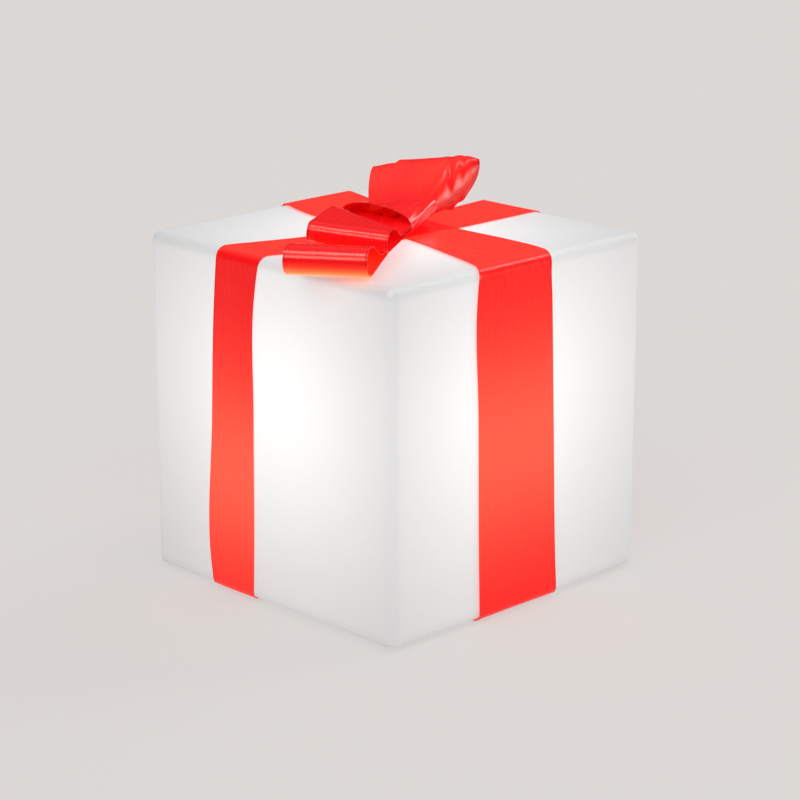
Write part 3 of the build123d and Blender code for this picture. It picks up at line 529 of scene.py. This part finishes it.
# Knot: a loose pleated band of ribbon round the waist. near and far give its half width and half height
knot = {"front": (8.8, -33.5, 15.5), "heading": 110.6, "tilt": -1.7, "roll": 9.0, "twist": -20.0,
        "length": 72.0, "near": (36.0, 14.0), "far": (31.0, 12.5), "round": 0.78,
        "pleat": 0.4, "pleats": 11, "lean": 2, "rows": 61, "columns": 121}


# an ellipse with one rounder end, carried along the band. it narrows and twists evenly from front to back,
# with pleats that are a sine round it and die away at the selvages
def knotBand(look):
    along, across, out = bowAxes(look)
    t = 0.5 + 0.5 * acrossPlaces(look["rows"])[:, None]
    angle = np.linspace(0, 2 * math.pi, look["columns"], endpoint=False)[None, :]
    ripple = look["pleat"] * np.sin(look["pleats"] * angle + look["lean"] * t) * np.sin(math.pi * t)
    half, rise = (near + (far - near) * t + ripple for near, far in zip(look["near"], look["far"]))
    power = np.where(np.cos(angle) < 0, look["round"], 1.0)
    level, upright = (size * np.sign(wave) * np.abs(wave) ** power
                      for size, wave in ((half, np.cos(angle)), (rise, np.sin(angle))))
    turn = math.radians(look["twist"]) * t
    forward = look["length"] * t * np.ones_like(angle)
    points = np.array(look["front"]) + (0, 0, bow["base"]) + forward[..., None] * along
    points = points + (level * np.cos(turn) - upright * np.sin(turn))[..., None] * across
    points = points + (level * np.sin(turn) + upright * np.cos(turn))[..., None] * out
    around = float(lengthAlong(np.vstack([points[0], points[0, :1]]))[-1])
    uv = np.stack(np.broadcast_arrays(angle / (2 * math.pi) * around, forward), axis=-1)
    selvage = selvageBand(2 * t - 1, look["length"]) * np.ones_like(angle)
    piece = gridPiece("satin_knot", points, uv, np.zeros(forward.shape), selvage, closed=True)
    finishCloth(piece, "bow_knot", bowSatin)


knotBand(knot)

# Waist: the ribbon folded to and fro inside the knot
waist = {"half": 17.0, "rise": 7.5, "drop": 4.9, "length": 32.0, "folds": 7, "blunt": 1.15,
         "rows": 15, "columns": 169}


# a cosine that swings to and fro while it climbs, inside an ellipse that is cut off blunt at its ends
def foldedWaist(look):
    along, across, out = bowAxes(knot)
    t = np.linspace(-0.5, 0.5, look["rows"])[:, None]
    s = np.linspace(0, 1, look["columns"])[None, :]
    level = (2 * s - 1) * look["rise"]
    reach = look["half"] * np.sqrt(np.clip(1 - (level / (look["rise"] * look["blunt"])) ** 2, 0, 1))
    swing = reach * np.cos(math.pi * look["folds"] * s)
    forward, level, swing = np.broadcast_arrays(look["length"] * t, level, swing)
    place = np.array(knot["front"]) + (0, 0, bow["base"]) + along * knot["length"] / 2 - out * look["drop"]
    points = place + forward[..., None] * along + swing[..., None] * across + level[..., None] * out
    length = lengthAlong(points[0])
    uv = np.stack(np.broadcast_arrays(forward, length[None, :]), axis=-1)
    none = np.zeros(forward.shape)
    piece = gridPiece("satin_waist", points, uv, none - bow["rootShade"], none)
    finishCloth(piece, "bow_waist", bowSatin)


foldedWaist(waist)
print("knot and waist made")

# Floor: camera and reflections see part of it at its own colour, so it stays even and keeps a soft shadow.
# its size is in metres
stage = {"floor": "#ddd9d6", "size": 40.0, "roughness": 0.9, "even": 0.75}
reach = stage["size"] / 2
floorMesh = bpy.data.meshes.new("floor")
floorMesh.from_pydata(
    [(-reach, -reach, 0), (reach, -reach, 0), (reach, reach, 0), (-reach, reach, 0)], [], [(0, 1, 2, 3)])
floor = bpy.data.objects.new("floor", floorMesh)
scene.collection.objects.link(floor)
floorPaint, floorTree, floorShader = startMaterial("studio_floor")
setInputs(floorTree, floorShader, {
    "Base Color": hexColour(stage["floor"]), "Roughness": stage["roughness"], "Specular IOR Level": 0.0})
path = addNode(floorTree, "ShaderNodeLightPath")
seen = path.outputs["Is Camera Ray"]
for ray in ("Is Glossy Ray", "Is Transmission Ray"):
    either = addNode(floorTree, "ShaderNodeMath", {0: seen, 1: path.outputs[ray]}, operation="MAXIMUM")
    seen = either.outputs[0]
even = addNode(floorTree, "ShaderNodeMath", {0: seen, 1: stage["even"]}, operation="MULTIPLY")
plain = addNode(floorTree, "ShaderNodeEmission", {"Color": hexColour(stage["floor"]), "Strength": 1.0})
mixed = addNode(floorTree, "ShaderNodeMixShader", {
    0: even.outputs[0], 1: floorShader.outputs[0], 2: plain.outputs[0]})
setInputs(floorTree, floorTree.nodes["Material Output"], {"Surface": mixed.outputs[0]})
floorMesh.materials.append(floorPaint)

# Studio: bright overhead and dimmer towards the walls
studio = {"horizon": "#4c4c4c", "zenith": "#ffffff", "wallTop": 0.3, "strength": 0.9}
scene.world = bpy.data.worlds.new("studio")
scene.world.use_nodes = True
sky = scene.world.node_tree
aim = addNode(sky, "ShaderNodeTexCoord")
height = addNode(sky, "ShaderNodeSeparateXYZ", {0: aim.outputs["Generated"]})
rise = addNode(sky, "ShaderNodeMapRange", {
    0: height.outputs["Z"], 1: studio["wallTop"], 2: 1.0}, interpolation_type="SMOOTHSTEP")
shade = addNode(sky, "ShaderNodeMix", {
    0: rise.outputs[0], 6: hexColour(studio["horizon"]), 7: hexColour(studio["zenith"])}, data_type="RGBA")
setInputs(sky, sky.nodes["Background"], {"Color": shade.outputs[2], "Strength": studio["strength"]})

# Lights: softboxes for the form, and glints that only show in gloss, for the long highlights of the satin
lights = {
    "softbox_left": {"azimuth": -68, "height": 40, "strength": 0.85, "spread": 40},
    "glint_left": {"azimuth": -79, "height": 34, "strength": 1.6, "spread": 16, "glossOnly": True},
    "glint_above": {"azimuth": -100, "height": 66, "strength": 2.2, "spread": 18, "glossOnly": True},
    "softbox_right": {"azimuth": -8, "height": 30, "strength": 0.45, "spread": 40},
    "softbox_behind": {"azimuth": 70, "height": 42, "strength": 0.6, "spread": 16},
    "softbox_low": {"azimuth": 92, "height": 14, "strength": 0.55, "spread": 18},
    "glint_end": {"azimuth": 62, "height": 3, "strength": 0.7, "spread": 18, "glossOnly": True},
}
for name, look in lights.items():
    box = bpy.data.objects.new(name, bpy.data.lights.new(name, "SUN"))
    box.data.energy = look["strength"]
    box.data.angle = math.radians(look["spread"])
    box.visible_diffuse = not look.get("glossOnly", False)
    box.rotation_euler = (0, math.radians(90 - look["height"]), math.radians(look["azimuth"]))
    scene.collection.objects.link(box)

# Camera: its place and the far end of its view are in metres
camera = {"place": (1.7009, -1.6663, 0.8730), "pitch": 16.46, "heading": 45.480, "lens": 116.0,
          "sensor": 36.0, "end": 100.0}
eye = bpy.data.objects.new("camera", bpy.data.cameras.new("camera"))
eye.data.lens = camera["lens"]
eye.data.sensor_width = camera["sensor"]
eye.data.clip_end = camera["end"]
eye.location = camera["place"]
eye.rotation_euler = (math.radians(90 - camera["pitch"]), 0, math.radians(camera["heading"]))
scene.collection.objects.link(eye)
scene.camera = eye
scene.view_settings.view_transform = "Standard"
print("stage set")
